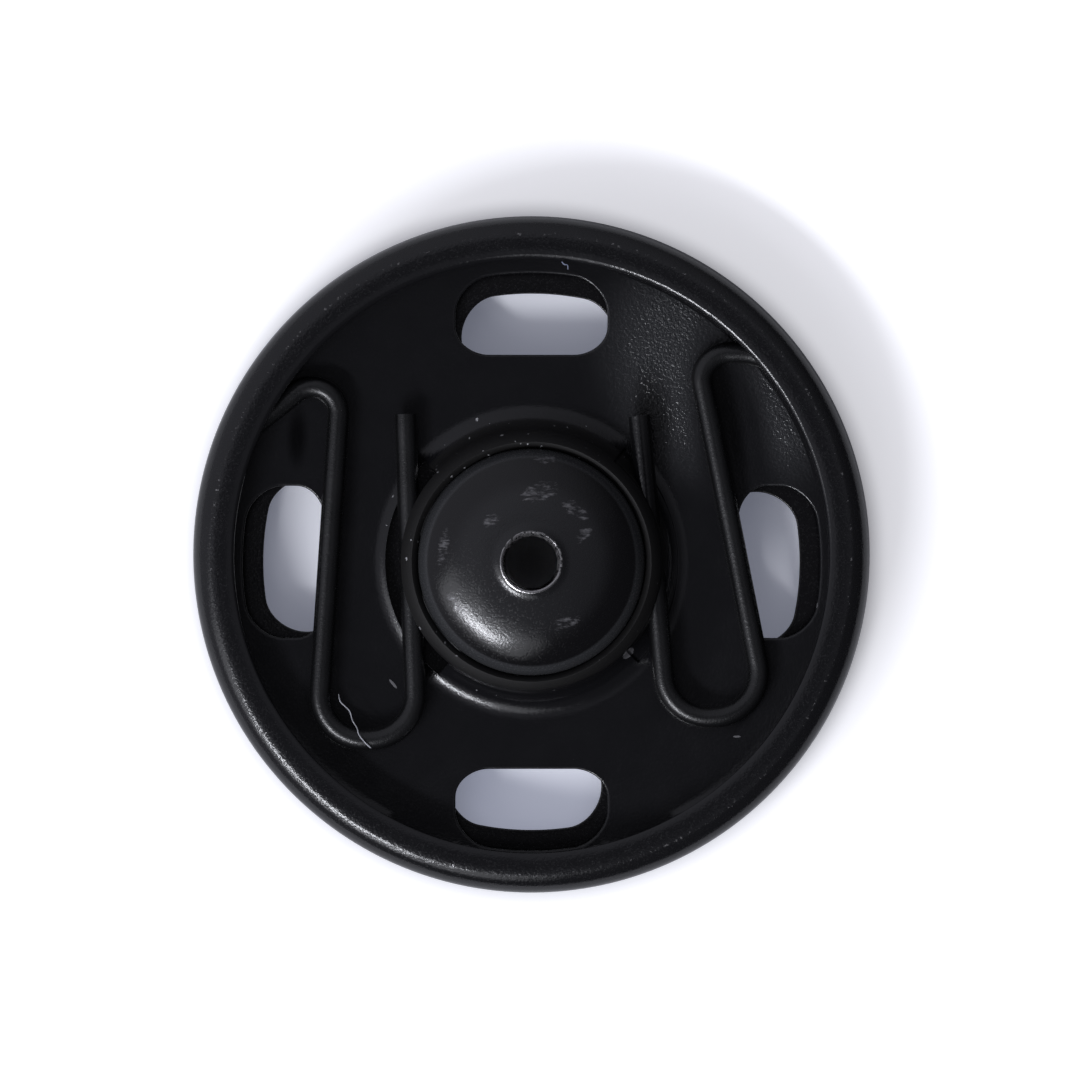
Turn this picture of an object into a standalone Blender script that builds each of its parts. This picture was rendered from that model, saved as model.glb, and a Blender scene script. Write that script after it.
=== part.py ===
"""Large sew-on snap fastener, closed: a sprung socket half pressed down on a stud half.

Each half is a disc pressed from thin sheet, with its rim curled into a bead and four slots for thread.
The stud half lies underneath, its hollow ball standing up through the collar of the socket half.
One bent wire is the spring. Its middle lies in the hollow of the socket's bead, and its two straight
legs lie in the windows of the collar, one on each side, and grip the ball below its widest place.

Metres, +Z up. The origin is under the middle of the socket's rim, on the surface that the pair lies on.
"""

import math

import bmesh
import bpy
from mathutils import Matrix, Vector

# Sheet and wire
SHEET = 0.0004
WIRE = 0.0009

# Clearances
FIT = 0.00005
GRIP_PLAY = 0.0001
BEAD_PLAY = 0.0002
FACE_GAP = 0.00015

# Both discs: flat as far as FLAT_RADIUS, then slightly dished
EDGE_BREAK = 0.0001
FLAT_RADIUS = 0.0088
DISH = math.radians(2.5)
LIP_SLOPE = math.radians(8)
LIP_BEND = 0.0005

# Socket disc. Its rim was curled OFF_CENTRE off the middle of its collar.
OFF_CENTRE = 0.00033
SOCKET_RADIUS = 0.0150
SOCKET_LAND = 0.00034
SOCKET_RIM = 0.0019
COLLAR_ROOF = 0.00058
COLLAR_LEAN = math.radians(15)
ROOF_SLOPE = math.radians(38)
SHOULDER_RISE = 0.00015
COLLAR_FILLET = 0.0012
MOUTH_PLAY = 0.0002
WINDOW_REACH = 0.00069
WINDOW_HALF_ANGLE = math.radians(47)
SOCKET_SLOT_MARGIN = 0.00028
SOCKET_SLOT_WIDTH = 0.00362
SOCKET_SLOT_LENGTH = 0.00675
SOCKET_SLOT_CORNER = 0.0015

# Stud disc, smaller than the socket disc by STUD_INSET all round
STUD_INSET = 0.00085
STUD_BEAD = 0.0017
STUD_LAND = 0.0004
STUD_RIM = 0.00165
BALL_RADIUS = 0.00503
NECK_INSET = 0.00025
NECK_FILLET = 0.0006
UNDERCUT = 0.00085
BALL_ABOVE_WIRE = 0.0007
DOME_RISE = 0.0019
TIP_HOLE_RADIUS = 0.00118
TIP_LIP = 0.00012
STUD_SLOT_MARGIN = 0.00057
STUD_SLOT_WIDTH = 0.00285
STUD_SLOT_LENGTH = 0.0068
STUD_SLOT_CORNER = 0.0014
STUD_TURN = math.radians(-1.7)

# Spring, seen from above with its free ends towards +Y, then turned by SPRING_TURN round the ball.
# Where a size has two values, they are the left side's and the right side's.
SPRING_TURN = math.radians(3.7)
FREE_ENDS = (0.0069, 0.00615)
INNER_LEAN = math.radians(1.7)
OUTER_LEG_INSET = 0.0049
OUTER_LEAN = math.radians(7.5)
BEND_DEPTH = 0.0074
BEND_RADIUS = 0.0020
HOOK_RADIUS = 0.00117
HOOK_LEANS = (math.radians(35), math.radians(4))
HOOK_REACH = 0.00165
HOOK_BLEND = 0.0030
RIM_MEETS = (math.radians(18), math.radians(29))

# How finely curves are divided
SOCKET_SIDES = 56
STUD_SIDES = 48
DOME_STEPS = 6
NECK_STEPS = 3
SHEET_STEP = math.radians(30)
WIRE_STEP = math.radians(20)
RIM_STEP = math.radians(8)
WIRE_RESOLUTION = 2
SHARP_EDGE = math.radians(40)
SAME_POINT = 1e-7

# The bead of the socket is as tall as the wire in its hollow needs.
SOCKET_BEAD = WIRE + 2 * BEAD_PLAY + 2 * SHEET

# Radii from the ball outwards: its neck, the collar's wall at the top of its windows, their far edge
NECK_RADIUS = BALL_RADIUS - NECK_INSET
COLLAR_RADIUS = BALL_RADIUS + MOUTH_PLAY + COLLAR_ROOF
WINDOW_RADIUS = COLLAR_RADIUS + WINDOW_REACH

# Radii from the socket's edge inwards: the stud's edge, the edges of the lips and the slots' outer edges
STUD_RADIUS = SOCKET_RADIUS - STUD_INSET
SOCKET_LIP = SOCKET_RADIUS - SOCKET_RIM
STUD_LIP = STUD_RADIUS - STUD_RIM
SOCKET_SLOT_OUTER = SOCKET_LIP - SOCKET_SLOT_MARGIN
STUD_SLOT_OUTER = STUD_LIP - STUD_SLOT_MARGIN


def clear_scene():
    for obj in list(bpy.data.objects):
        bpy.data.objects.remove(obj)


def painted(name, colour, roughness):
    """Stoved black paint over brass or steel."""
    material = bpy.data.materials.new(name)
    material.use_nodes = True
    shader = material.node_tree.nodes["Principled BSDF"]
    shader.inputs["Base Color"].default_value = (*colour, 1)
    shader.inputs["Roughness"].default_value = roughness
    shader.inputs["Metallic"].default_value = 0
    material.diffuse_color = (*colour, 1)
    return material


def corner_arc(before, corner, after, radius, step):
    """Points of the arc that rounds the corner between two straight lines."""
    back = (before - corner).normalized()
    on = (after - corner).normalized()
    half = back.angle(on) / 2
    centre = corner + (back + on).normalized() * radius / math.sin(half)
    start = corner + back * radius / math.tan(half) - centre
    turn = (math.pi - 2 * half) * math.copysign(1, back.cross(on)) * -1
    steps = max(1, math.ceil(round(abs(turn) / step, 6)))
    return [centre + Matrix.Rotation(turn * k / steps, 2) @ start for k in range(steps + 1)]


def rounded(corners, step, closed=False):
    """A flat line through corners (x, y, bend radius), with each bend as an arc. Bends may touch."""
    points = []
    last = len(corners) - 1
    for i, (x, y, radius) in enumerate(corners):
        corner = Vector((x, y))
        if radius == 0 or (i in (0, last) and not closed):
            points.append(corner)
            continue
        before = Vector(corners[i - 1][:2])
        after = Vector(corners[(i + 1) % len(corners)][:2])
        points += corner_arc(before, corner, after, radius, step)
    return [p for i, p in enumerate(points) if i == 0 or (p - points[i - 1]).length > SAME_POINT]


def sheet_section(path):
    """Outline of sheet metal whose middle follows path. It reaches EDGE_BREAK past each end of the path,
    with the corners of its cut edges broken."""
    half = SHEET / 2
    sides = [(b - a).normalized().orthogonal() for a, b in zip(path, path[1:])]
    offsets = [sides[0] * half]
    for one, two in zip(sides, sides[1:]):
        middle = (one + two).normalized()
        offsets.append(middle * half / middle.dot(one))
    offsets.append(sides[-1] * half)
    left = [p + o for p, o in zip(path, offsets)]
    right = [p - o for p, o in zip(path, offsets)]
    flat = half - EDGE_BREAK
    far = path[-1] + (path[-1] - path[-2]).normalized() * EDGE_BREAK
    near = path[0] + (path[0] - path[1]).normalized() * EDGE_BREAK
    far_edge = [far + sides[-1] * flat, far - sides[-1] * flat]
    near_edge = [near - sides[0] * flat, near + sides[0] * flat]
    return left + far_edge + right[::-1] + near_edge


def turned(name, section, sides):
    """The section (radius, height) spun round Z."""
    bm = bmesh.new()
    verts = [bm.verts.new((p.x, 0, p.y)) for p in section]
    edges = [bm.edges.new((verts[i - 1], verts[i])) for i in range(len(verts))]
    bmesh.ops.spin(bm, geom=verts + edges, axis=(0, 0, 1), cent=(0, 0, 0),
                   angle=2 * math.pi, steps=sides, use_merge=True)
    bmesh.ops.recalc_face_normals(bm, faces=bm.faces)
    return finished(name, bm)


def finished(name, bm):
    """A named object from a bmesh, shaded smooth but for its sharp edges."""
    mesh = bpy.data.meshes.new(name)
    bm.to_mesh(mesh)
    bm.free()
    mesh.shade_smooth()
    mesh.set_sharp_from_angle(angle=SHARP_EDGE)
    obj = bpy.data.objects.new(name, mesh)
    bpy.context.scene.collection.objects.link(obj)
    return obj


def prisms(name, outlines, low, high):
    """A cutter of one upright prism for each outline."""
    bm = bmesh.new()
    for outline in outlines:
        face = bm.faces.new([bm.verts.new((p.x, p.y, low)) for p in outline])
        grown = bmesh.ops.extrude_face_region(bm, geom=[face])["geom"]
        risen = [g for g in grown if isinstance(g, bmesh.types.BMVert)]
        bmesh.ops.translate(bm, verts=risen, vec=(0, 0, high - low))
    bmesh.ops.recalc_face_normals(bm, faces=bm.faces)
    cutter = finished(name, bm)
    cutter.hide_render = True
    cutter.display_type = "WIRE"
    return cutter


def cut(obj, cutter):
    cutter.parent = obj
    boolean = obj.modifiers.new(cutter.name, "BOOLEAN")
    boolean.operation = "DIFFERENCE"
    boolean.solver = "EXACT"
    boolean.object = cutter


def slot_outlines(outer, width, length, corner, inner_bend, turn):
    """Four thread slots round the middle. The outer edge follows the rim, and so does the inner edge
    where inner_bend is 1; where it is 0 the inner edge is straight."""
    inner = outer - width
    half = length / 2
    corners = [(-half, 0, corner), (0, 0, 0), (half, 0, corner),
               (half, width, corner), (0, width, 0), (-half, width, corner)]
    slot = []
    for across, out in rounded(corners, SHEET_STEP, closed=True):
        radius = inner + out
        bend = inner_bend + (1 - inner_bend) * out / width
        sag = radius - math.sqrt(radius ** 2 - across ** 2)
        slot.append(Vector((across, radius - bend * sag)))
    return [[Matrix.Rotation(turn + math.radians(quarter), 2) @ p for p in slot]
            for quarter in (0, 90, 180, 270)]


def bead_middle(radius, bead):
    """Radius and height of the middle of a bead's hollow, the height from the middle of the flat sheet."""
    bend = (bead - SHEET) / 2
    across = radius - bead / 2
    rise = (across - FLAT_RADIUS) * math.tan(DISH)
    return across, rise + bend / math.cos(DISH)


def rim_corners(radius, bead, land, lip):
    """The dished outer plate, the bead and the turned-in lip, upwards from the flat sheet at height 0."""
    bend = (bead - SHEET) / 2
    outside = radius - SHEET / 2
    across, height = bead_middle(radius, bead)
    crest = height + bend
    lip_starts = across - land
    lip_ends = lip + EDGE_BREAK
    return [(FLAT_RADIUS, 0, 0),
            (outside, (outside - FLAT_RADIUS) * math.tan(DISH), bend),
            (outside, crest, bend),
            (lip_starts, crest, LIP_BEND),
            (lip_ends, crest - (lip_starts - lip_ends) * math.tan(LIP_SLOPE), 0)]


def spring_height():
    """Height of the wire's middle over the socket's front face, lying in the hollow of the bead."""
    return SHEET / 2 + bead_middle(SOCKET_RADIUS, SOCKET_BEAD)[1] - BEAD_PLAY + FIT


def socket_section():
    """From the mouth of the collar outwards. Height 0 is the front face, which meets the stud half. The
    collar's wall leans in, and its roof curves on from it to the mouth."""
    middle = SHEET / 2
    window_top = spring_height() + WIRE / 2 + FIT
    lean = math.tan(COLLAR_LEAN)
    wall = COLLAR_RADIUS - middle / math.cos(COLLAR_LEAN)
    shoulder = wall - SHOULDER_RISE * lean
    cut_edge = EDGE_BREAK * math.cos(ROOF_SLOPE) + (middle - EDGE_BREAK) * math.sin(ROOF_SLOPE)
    mouth = BALL_RADIUS + MOUTH_PLAY + cut_edge
    roof = (shoulder - mouth) / math.cos(ROOF_SLOPE)
    roof_bend = roof / math.tan((math.pi / 2 - COLLAR_LEAN - ROOF_SLOPE) / 2)
    collar = [(mouth, window_top + SHOULDER_RISE + roof * math.sin(ROOF_SLOPE), 0),
              (shoulder, window_top + SHOULDER_RISE, roof_bend),
              (wall + (window_top - middle) * lean, middle, COLLAR_FILLET + middle)]
    rim = [(r, z + middle, bend)
           for r, z, bend in rim_corners(SOCKET_RADIUS, SOCKET_BEAD, SOCKET_LAND, SOCKET_LIP)]
    return sheet_section(rounded(collar + rim, SHEET_STEP))


def window_outlines():
    """The two windows through the collar's wall, one on each side, as sectors seen from above."""
    inner = NECK_RADIUS
    steps = math.ceil(2 * WINDOW_HALF_ANGLE / RIM_STEP)
    angles = [WINDOW_HALF_ANGLE * (2 * k / steps - 1) for k in range(steps + 1)]
    arc = [Vector((WINDOW_RADIUS * math.cos(a), WINDOW_RADIUS * math.sin(a))) for a in angles]
    inside = [Vector((inner * math.cos(a), inner * math.sin(a))) for a in angles]
    sector = arc + inside[::-1]
    return [[Matrix.Rotation(turn, 2) @ p for p in sector] for turn in (SPRING_TURN, SPRING_TURN + math.pi)]


def make_socket_disc():
    disc = turned("socket_disc", socket_section(), SOCKET_SIDES)
    for vert in disc.data.vertices:
        if vert.co.xy.length > FLAT_RADIUS + SHEET:
            vert.co.y += OFF_CENTRE
    wire_top = spring_height() + WIRE / 2 + FIT
    slots = slot_outlines(SOCKET_SLOT_OUTER, SOCKET_SLOT_WIDTH, SOCKET_SLOT_LENGTH, SOCKET_SLOT_CORNER, 0, 0)
    cut(disc, prisms("socket_slot_cutter", slots, -SHEET, wire_top - WIRE / 2))
    cut(disc, prisms("window_cutter", window_outlines(), -SHEET, wire_top))
    return disc


def spring_side(side, free_end, hook_lean, rim_meets):
    """One end of the spring, from its free end to where it meets the curve of the rim. The side is 1
    for +X and -1 for -X."""
    rim_middle = Matrix.Rotation(-SPRING_TURN, 2) @ Vector((0, OFF_CENTRE))
    rim_radius = bead_middle(SOCKET_RADIUS, SOCKET_BEAD)[0]
    middle = Vector((side * rim_middle.x, rim_middle.y))
    along_rim = Vector((-math.sin(rim_meets), math.cos(rim_meets)))
    meets = middle + rim_radius * Vector((math.cos(rim_meets), math.sin(rim_meets)))

    inner_leg = NECK_RADIUS + WIRE / 2 + GRIP_PLAY
    outer_leg = rim_radius - OUTER_LEG_INSET
    inner_slope = math.tan(INNER_LEAN)
    outer_slope = math.tan(OUTER_LEAN)
    hook_slope = math.tan(hook_lean)
    inner_foot = inner_leg + inner_slope * BEND_DEPTH
    outer_foot = outer_leg + outer_slope * BEND_DEPTH
    tangents = math.tan((math.pi / 2 - INNER_LEAN) / 2) + math.tan((math.pi / 2 + OUTER_LEAN) / 2)
    bend = min(BEND_RADIUS, (outer_foot - inner_foot) / tangents)
    blend = meets + along_rim * HOOK_REACH
    top = (blend.y + hook_slope * (blend.x - outer_leg)) / (1 - hook_slope * outer_slope)
    corners = [(inner_leg - inner_slope * free_end, free_end, 0),
               (inner_foot, -BEND_DEPTH, bend),
               (outer_foot, -BEND_DEPTH, bend),
               (outer_leg - outer_slope * top, top, HOOK_RADIUS),
               (blend.x, blend.y, HOOK_BLEND),
               (meets.x, meets.y, 0)]
    return [Vector((side * p.x, p.y)) for p in rounded(corners, WIRE_STEP)]


def spring_route():
    """The whole wire, seen from above, before it is turned to its place round the ball."""
    left, right = [spring_side(*sizes) for sizes in zip((-1, 1), FREE_ENDS, HOOK_LEANS, RIM_MEETS)]
    middle = Matrix.Rotation(-SPRING_TURN, 2) @ Vector((0, OFF_CENTRE))
    start = left[-1] - middle
    sweep = math.pi + sum(RIM_MEETS)
    steps = math.ceil(sweep / RIM_STEP)
    under_rim = [middle + Matrix.Rotation(sweep * k / steps, 2) @ start for k in range(1, steps)]
    return left + under_rim + right[::-1]


def make_spring():
    """A round wire bent in one plane, with its ends cut square."""
    curve = bpy.data.curves.new("spring", "CURVE")
    curve.dimensions = "3D"
    curve.bevel_depth = WIRE / 2
    curve.bevel_resolution = WIRE_RESOLUTION
    curve.use_fill_caps = True
    route = spring_route()
    spline = curve.splines.new("POLY")
    spline.points.add(len(route) - 1)
    for point, place in zip(spline.points, route):
        point.co = (place.x, place.y, 0, 1)
    spring = bpy.data.objects.new("spring", curve)
    bpy.context.scene.collection.objects.link(spring)
    spring.rotation_euler.z = SPRING_TURN
    spring.location.z = spring_height()
    return spring


def stud_section():
    """From the hole in the ball's tip outwards. Height 0 is the front face, which meets the socket half."""
    middle = SHEET / 2
    widest = FACE_GAP + spring_height() + BALL_ABOVE_WIRE
    dome_radius = BALL_RADIUS - middle
    dome_rise = DOME_RISE - middle
    neck = NECK_RADIUS - middle
    hole = TIP_HOLE_RADIUS + EDGE_BREAK
    first = math.acos((hole + SHEET) / dome_radius)
    tip = widest + dome_rise * math.sin(math.acos(hole / dome_radius)) + TIP_LIP
    corners = [(hole, tip, 0)]
    for k in range(DOME_STEPS + 1):
        angle = first * (1 - k / DOME_STEPS)
        corners.append((dome_radius * math.cos(angle), widest + dome_rise * math.sin(angle), 0))
    for k in range(1, NECK_STEPS + 1):
        part = k / NECK_STEPS
        swell = (BALL_RADIUS - NECK_RADIUS) * (1 + math.cos(math.pi * part)) / 2
        corners.append((neck + swell, widest - UNDERCUT * part, 0))
    corners.append((neck, -middle, NECK_FILLET + middle))
    rim = [(r, -middle - z, bend)
           for r, z, bend in rim_corners(STUD_RADIUS, STUD_BEAD, STUD_LAND, STUD_LIP)]
    return sheet_section(rounded(corners + rim, SHEET_STEP))


def make_stud_disc():
    disc = turned("stud_disc", stud_section(), STUD_SIDES)
    slots = slot_outlines(STUD_SLOT_OUTER, STUD_SLOT_WIDTH, STUD_SLOT_LENGTH, STUD_SLOT_CORNER, 1, STUD_TURN)
    cut(disc, prisms("stud_slot_cutter", slots, -2 * SHEET, SHEET))
    return disc


def stud_face_height():
    """Height of the stud's front face when its bead lies on the table."""
    return SHEET / 2 + bead_middle(STUD_RADIUS, STUD_BEAD)[1] + STUD_BEAD / 2


def build():
    clear_scene()
    disc_paint = painted("black_stoved_paint", (0.010, 0.009, 0.012), 0.38)
    wire_paint = painted("black_painted_wire", (0.014, 0.013, 0.016), 0.34)

    stud_disc = make_stud_disc()
    stud_disc.location = (0, -OFF_CENTRE, stud_face_height())
    stud_disc.data.materials.append(disc_paint)

    # The halves pull apart along this axis, straight up through the middle of the ball.
    pull_axis = bpy.data.objects.new("socket_half", None)
    bpy.context.scene.collection.objects.link(pull_axis)
    pull_axis.location = (0, -OFF_CENTRE, stud_face_height() + FACE_GAP)

    socket_disc = make_socket_disc()
    socket_disc.data.materials.append(disc_paint)
    socket_disc.parent = pull_axis
    spring = make_spring()
    spring.data.materials.append(wire_paint)
    spring.parent = pull_axis


build()
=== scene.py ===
import math

import bmesh
import bpy
from mathutils import Matrix, Vector
from mathutils.geometry import delaunay_2d_cdt


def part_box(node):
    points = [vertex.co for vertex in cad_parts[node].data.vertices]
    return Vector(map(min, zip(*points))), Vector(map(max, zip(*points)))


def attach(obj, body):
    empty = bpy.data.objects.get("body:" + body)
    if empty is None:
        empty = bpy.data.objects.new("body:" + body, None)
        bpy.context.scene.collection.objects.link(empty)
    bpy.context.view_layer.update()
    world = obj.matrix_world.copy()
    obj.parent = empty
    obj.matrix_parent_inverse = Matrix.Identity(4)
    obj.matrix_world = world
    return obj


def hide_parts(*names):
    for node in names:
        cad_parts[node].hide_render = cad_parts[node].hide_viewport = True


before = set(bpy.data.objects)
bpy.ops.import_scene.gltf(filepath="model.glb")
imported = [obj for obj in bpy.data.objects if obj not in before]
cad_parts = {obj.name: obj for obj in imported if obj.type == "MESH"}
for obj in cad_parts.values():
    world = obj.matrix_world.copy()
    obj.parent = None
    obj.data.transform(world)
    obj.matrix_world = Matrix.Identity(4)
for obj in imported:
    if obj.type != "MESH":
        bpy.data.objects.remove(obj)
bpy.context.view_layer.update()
mm = 0.001


# Stud disc, the half that lies underneath. One blank of thin sheet, drawn up in the middle into a hollow
# ball with a pierced tip, punched with four slots for the thread, and curled under at its edge into a bead.
# It is stoved black. The paint is rubbed duller and lighter on the ball, and right through on the lip
# round its hole. Part of the lighter paint on the ball is a painted reflection and sheen.
sheet = 0.4 * mm
sides = 240
off_centre = 0.33 * mm
dish = math.radians(2.5)
flat_radius = 8.8 * mm
dish_blend = 0.8 * mm

stud_radius = 14.15 * mm
stud_bead = 1.7 * mm
stud_land = 0.4 * mm
stud_lip = 12.5 * mm
ball_radius = 5.03 * mm
neck_radius = 4.78 * mm
neck_fillet = 0.6 * mm
undercut = 0.85 * mm
dome_rise = 1.9 * mm
hole_radius = 1.18 * mm
hole_lip = 0.12 * mm
hole_edge_room = 0.1 * mm
lip_foot = 1.75 * mm
stud_slot = {"outer": 11.93 * mm, "width": 2.85 * mm, "length": 6.8 * mm, "corner": 1.4 * mm, "follow": 1}
stud_turn = math.radians(-1.7)
halves_gap = 0.15 * mm
widest_above_wire = 0.7 * mm
stud_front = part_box("socket_disc")[0].z - halves_gap
ball_widest = (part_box("spring")[0].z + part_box("spring")[1].z) / 2 + widest_above_wire

slot_edge_round = 0.06 * mm
hole_edge_round = 0.08 * mm
stud_lip_round = 0.12 * mm
stud_lip_slope = math.radians(8)
paint_grain = 0.008 * mm


def linear(code):
    """Linear colour from an sRGB hex value."""
    parts = [int(code[i:i + 2], 16) / 255 for i in (1, 3, 5)]
    return [p / 12.92 if p <= 0.04045 else ((p + 0.055) / 1.055) ** 2.4 for p in parts] + [1]


def add(tree, kind, inputs=None, **settings):
    """One node with its settings. Each input is set to a value, or joined to a socket or to the first
    output of another node."""
    node = tree.nodes.new(kind)
    for name, value in settings.items():
        setattr(node, name, value)
    for key, value in (inputs or {}).items():
        source = value.outputs[0] if isinstance(value, bpy.types.Node) else value
        if isinstance(source, bpy.types.NodeSocket):
            tree.links.new(source, node.inputs[key])
        else:
            node.inputs[key].default_value = source
    return node


def linked(name, mesh):
    obj = bpy.data.objects.new(name, mesh)
    bpy.context.scene.collection.objects.link(obj)
    return obj


def rounded(corners, step, closed=False):
    """A flat line through corners (x, y, bend radius), with each bend as an arc."""
    points = []
    last = len(corners) - 1
    for i, (x, y, radius) in enumerate(corners):
        corner = Vector((x, y))
        if radius == 0 or (i in (0, last) and not closed):
            points.append(corner)
            continue
        back = (Vector(corners[i - 1][:2]) - corner).normalized()
        on = (Vector(corners[(i + 1) % len(corners)][:2]) - corner).normalized()
        half = back.angle(on) / 2
        centre = corner + (back + on).normalized() * radius / math.sin(half)
        start = corner + back * radius / math.tan(half) - centre
        turn = -(math.pi - 2 * half) * math.copysign(1, back.cross(on))
        steps = math.ceil(abs(turn) / step)
        points += [centre + Matrix.Rotation(turn * k / steps, 2) @ start for k in range(steps + 1)]
    return [p for i, p in enumerate(points) if i == 0 or (p - points[i - 1]).length > 1e-7]


def skin(path, edge_round, wear):
    """Both faces of sheet metal whose middle follows path (radius, height), with a rounded cut edge at
    its end. Gives (radius, height, edge), where edge is wear on the cut edge and 0 elsewhere."""
    half = sheet / 2
    leans = [(b - a).normalized().orthogonal() for a, b in zip(path, path[1:])]
    offsets = [Vector((0, math.copysign(half, leans[0].y)))]
    for one, two in zip(leans, leans[1:]):
        middle = (one + two).normalized()
        offsets.append(middle * half / middle.dot(one))
    offsets.append(leans[-1] * half)
    out = (path[-1] - path[-2]).normalized()
    side = leans[-1]
    turned_edge = []
    for k in range(9):
        angle = math.radians(90 - 22.5 * k)
        core = (half - edge_round) * (1 if k < 4 else -1 if k > 4 else 0)
        turned_edge.append(path[-1] + side * (core + edge_round * math.sin(angle))
                           + out * edge_round * math.cos(angle))
    left = [(p + o).to_3d() for p, o in zip(path, offsets)]
    right = [(p - o).to_3d() for p, o in zip(path, offsets)]
    return left[:-1] + [Vector((p.x, p.y, wear)) for p in turned_edge] + right[-2::-1]


# The net of a pierced quarter: its step, the step along a slot, the plain margin round a slot, how far
# the net keeps off that margin, and the narrow flat beside a rounded edge
net_step = 0.3 * mm
slot_step = 0.2 * mm
slot_margin = 0.2 * mm
margin_gap = 0.12 * mm
edge_flat = 0.07 * mm


def slot_line(outer, width, length, corner, follow):
    """Outline of the thread slot on the +Y side. Its inner edge follows the rim where follow is 1."""
    inner = outer - width
    half = length / 2
    corners = [(-half, 0, corner), (0, 0, 0), (half, 0, corner),
               (half, width, corner), (0, width, 0), (-half, width, corner)]
    line = rounded(corners, math.radians(6), closed=True)
    outline = []
    for a, b in zip(line, line[1:] + line[:1]):
        count = math.ceil((b - a).length / slot_step)
        for k in range(count):
            across, out = a.lerp(b, k / count)
            radius = inner + out
            bend = follow + (1 - follow) * out / width
            outline.append(Vector((across, radius - bend * (radius - math.sqrt(radius ** 2 - across ** 2)))))
    return outline


def inside(point, outline):
    """True where a point lies within a closed outline."""
    crossings = 0
    for a, b in zip(outline, outline[1:] + outline[:1]):
        if (a.y > point.y) != (b.y > point.y):
            crossings += point.x < a.x + (point.y - a.y) / (b.y - a.y) * (b.x - a.x)
    return crossings % 2 == 1


def grown(outline, distance):
    """A counter-clockwise outline moved outwards."""
    moved = []
    for a, p, b in zip(outline[-1:] + outline[:-1], outline, outline[1:] + outline[:1]):
        along = (b - a).normalized()
        moved.append(p + Vector((along.y, -along.x)) * distance)
    return moved


def pierced_quarter(name, near, far, middle, slot, front_round, back_round):
    """A quarter of a plate between two radii, pierced by one slot. middle gives the height of the
    sheet's middle at a radius. The slot's edge is rounded on one face, and differently on the other."""
    quarter = sides // 4
    angles = [math.radians(45 + 90 * k / quarter) for k in range(quarter + 1)]
    rings = round((far - near) / net_step)
    radii = [near + (far - near) * k / rings for k in range(rings + 1)]
    outline = slot_line(**slot)
    margin = max(front_round, back_round) + slot_margin
    hole = grown(outline, margin)
    keep_off = grown(outline, margin + margin_gap)

    flat = [Vector((r * math.cos(a), r * math.sin(a))) for r in (near, far) for a in angles]
    flat += [Vector((r * math.cos(a), r * math.sin(a)))
             for a in (angles[0], angles[-1]) for r in radii[1:-1]]
    grid = [Vector((r * math.cos(a), r * math.sin(a))) for r in radii[1:-1] for a in angles[1:-1:2]]
    flat += [point for point in grid if not inside(point, keep_off)]
    first_of_hole = len(flat)
    flat += hole
    loop = [(first_of_hole + k, first_of_hole + (k + 1) % len(hole)) for k in range(len(hole))]
    loop += [(start + k, start + k + 1) for start in (0, quarter + 1) for k in range(quarter)]
    points, _, faces, origins, _, _ = delaunay_2d_cdt([p / mm for p in flat], loop, [], 0, 1e-6)
    places = [p * mm for p in points]
    of_hole = {source - first_of_hole: place for place, ids in enumerate(origins)
               for source in ids if source >= first_of_hole}

    def holds(face):
        centre = sum((places[i] for i in face), Vector((0, 0))) / len(face)
        turn = math.atan2(centre.y, centre.x)
        return (near < centre.length < far and angles[0] < turn < angles[-1]
                and not inside(centre, hole))

    kept = [face for face in faces if holds(face)]
    half = sheet / 2
    verts = [(p.x, p.y, middle(p.length) + half) for p in places]
    verts += [(p.x, p.y, middle(p.length) - half) for p in places]
    wear = [0.0] * len(verts)
    back = len(places)
    mesh_faces = [tuple(face) for face in kept]
    mesh_faces += [tuple(back + i for i in reversed(face)) for face in kept]

    rows = [(front_round + edge_flat, half, 0), (front_round, half, 0.4)]
    for k in range(1, 5):
        angle = math.radians(22.5 * k)
        rows.append((front_round * (1 - math.sin(angle)), half - front_round * (1 - math.cos(angle)), 0.75))
    rows.append((0, back_round - half, 0.5))
    for k in range(1, 4):
        angle = math.radians(30 * k)
        rows.append((back_round * (1 - math.cos(angle)), back_round * (1 - math.sin(angle)) - half, 0))
    rows.append((back_round + edge_flat, -half, 0))
    rims = [[of_hole[k] for k in range(len(hole))]]
    for distance, height, worn in rows:
        first = len(verts)
        verts += [(p.x, p.y, middle(p.length) + height) for p in grown(outline, distance)]
        wear += [worn] * len(outline)
        rims.append(list(range(first, first + len(outline))))
    rims.append([back + i for i in rims[0]])
    for above, below in zip(rims, rims[1:]):
        for k in range(len(above)):
            after = (k + 1) % len(above)
            mesh_faces.append((above[k], below[k], below[after], above[after]))
    mesh = bpy.data.meshes.new(name)
    mesh.from_pydata(verts, [], mesh_faces)
    mesh.attributes.new("edge", "FLOAT", "POINT").data.foreach_set("value", wear)
    return linked(name, mesh)


# The tree that makes a pressed disc: a pierced quarter repeated round the middle, and the sections of
# the middle and of the rim turned round it.
sweep_radius = 10 * mm
weld_reach = 0.002 * mm
pressed_disc = bpy.data.node_groups.new("pressed_disc", "GeometryNodeTree")
for label, kind in (("Quarter", "Geometry"), ("Middle section", "Object"), ("Rim section", "Object"),
                    ("Slots", "Int"), ("Sides", "Int"), ("Paint", "Material")):
    pressed_disc.interface.new_socket(label, in_out="INPUT", socket_type="NodeSocket" + kind)
pressed_disc.interface.new_socket("Disc", in_out="OUTPUT", socket_type="NodeSocketGeometry")
given = add(pressed_disc, "NodeGroupInput").outputs
spots = add(pressed_disc, "GeometryNodePoints", {"Count": given["Slots"]})
share = add(pressed_disc, "ShaderNodeMath", {0: math.tau, 1: given["Slots"]}, operation="DIVIDE")
index = add(pressed_disc, "GeometryNodeInputIndex")
angle = add(pressed_disc, "ShaderNodeMath", {0: index, 1: share}, operation="MULTIPLY")
turn = add(pressed_disc, "ShaderNodeCombineXYZ", {"Z": angle})
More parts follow.
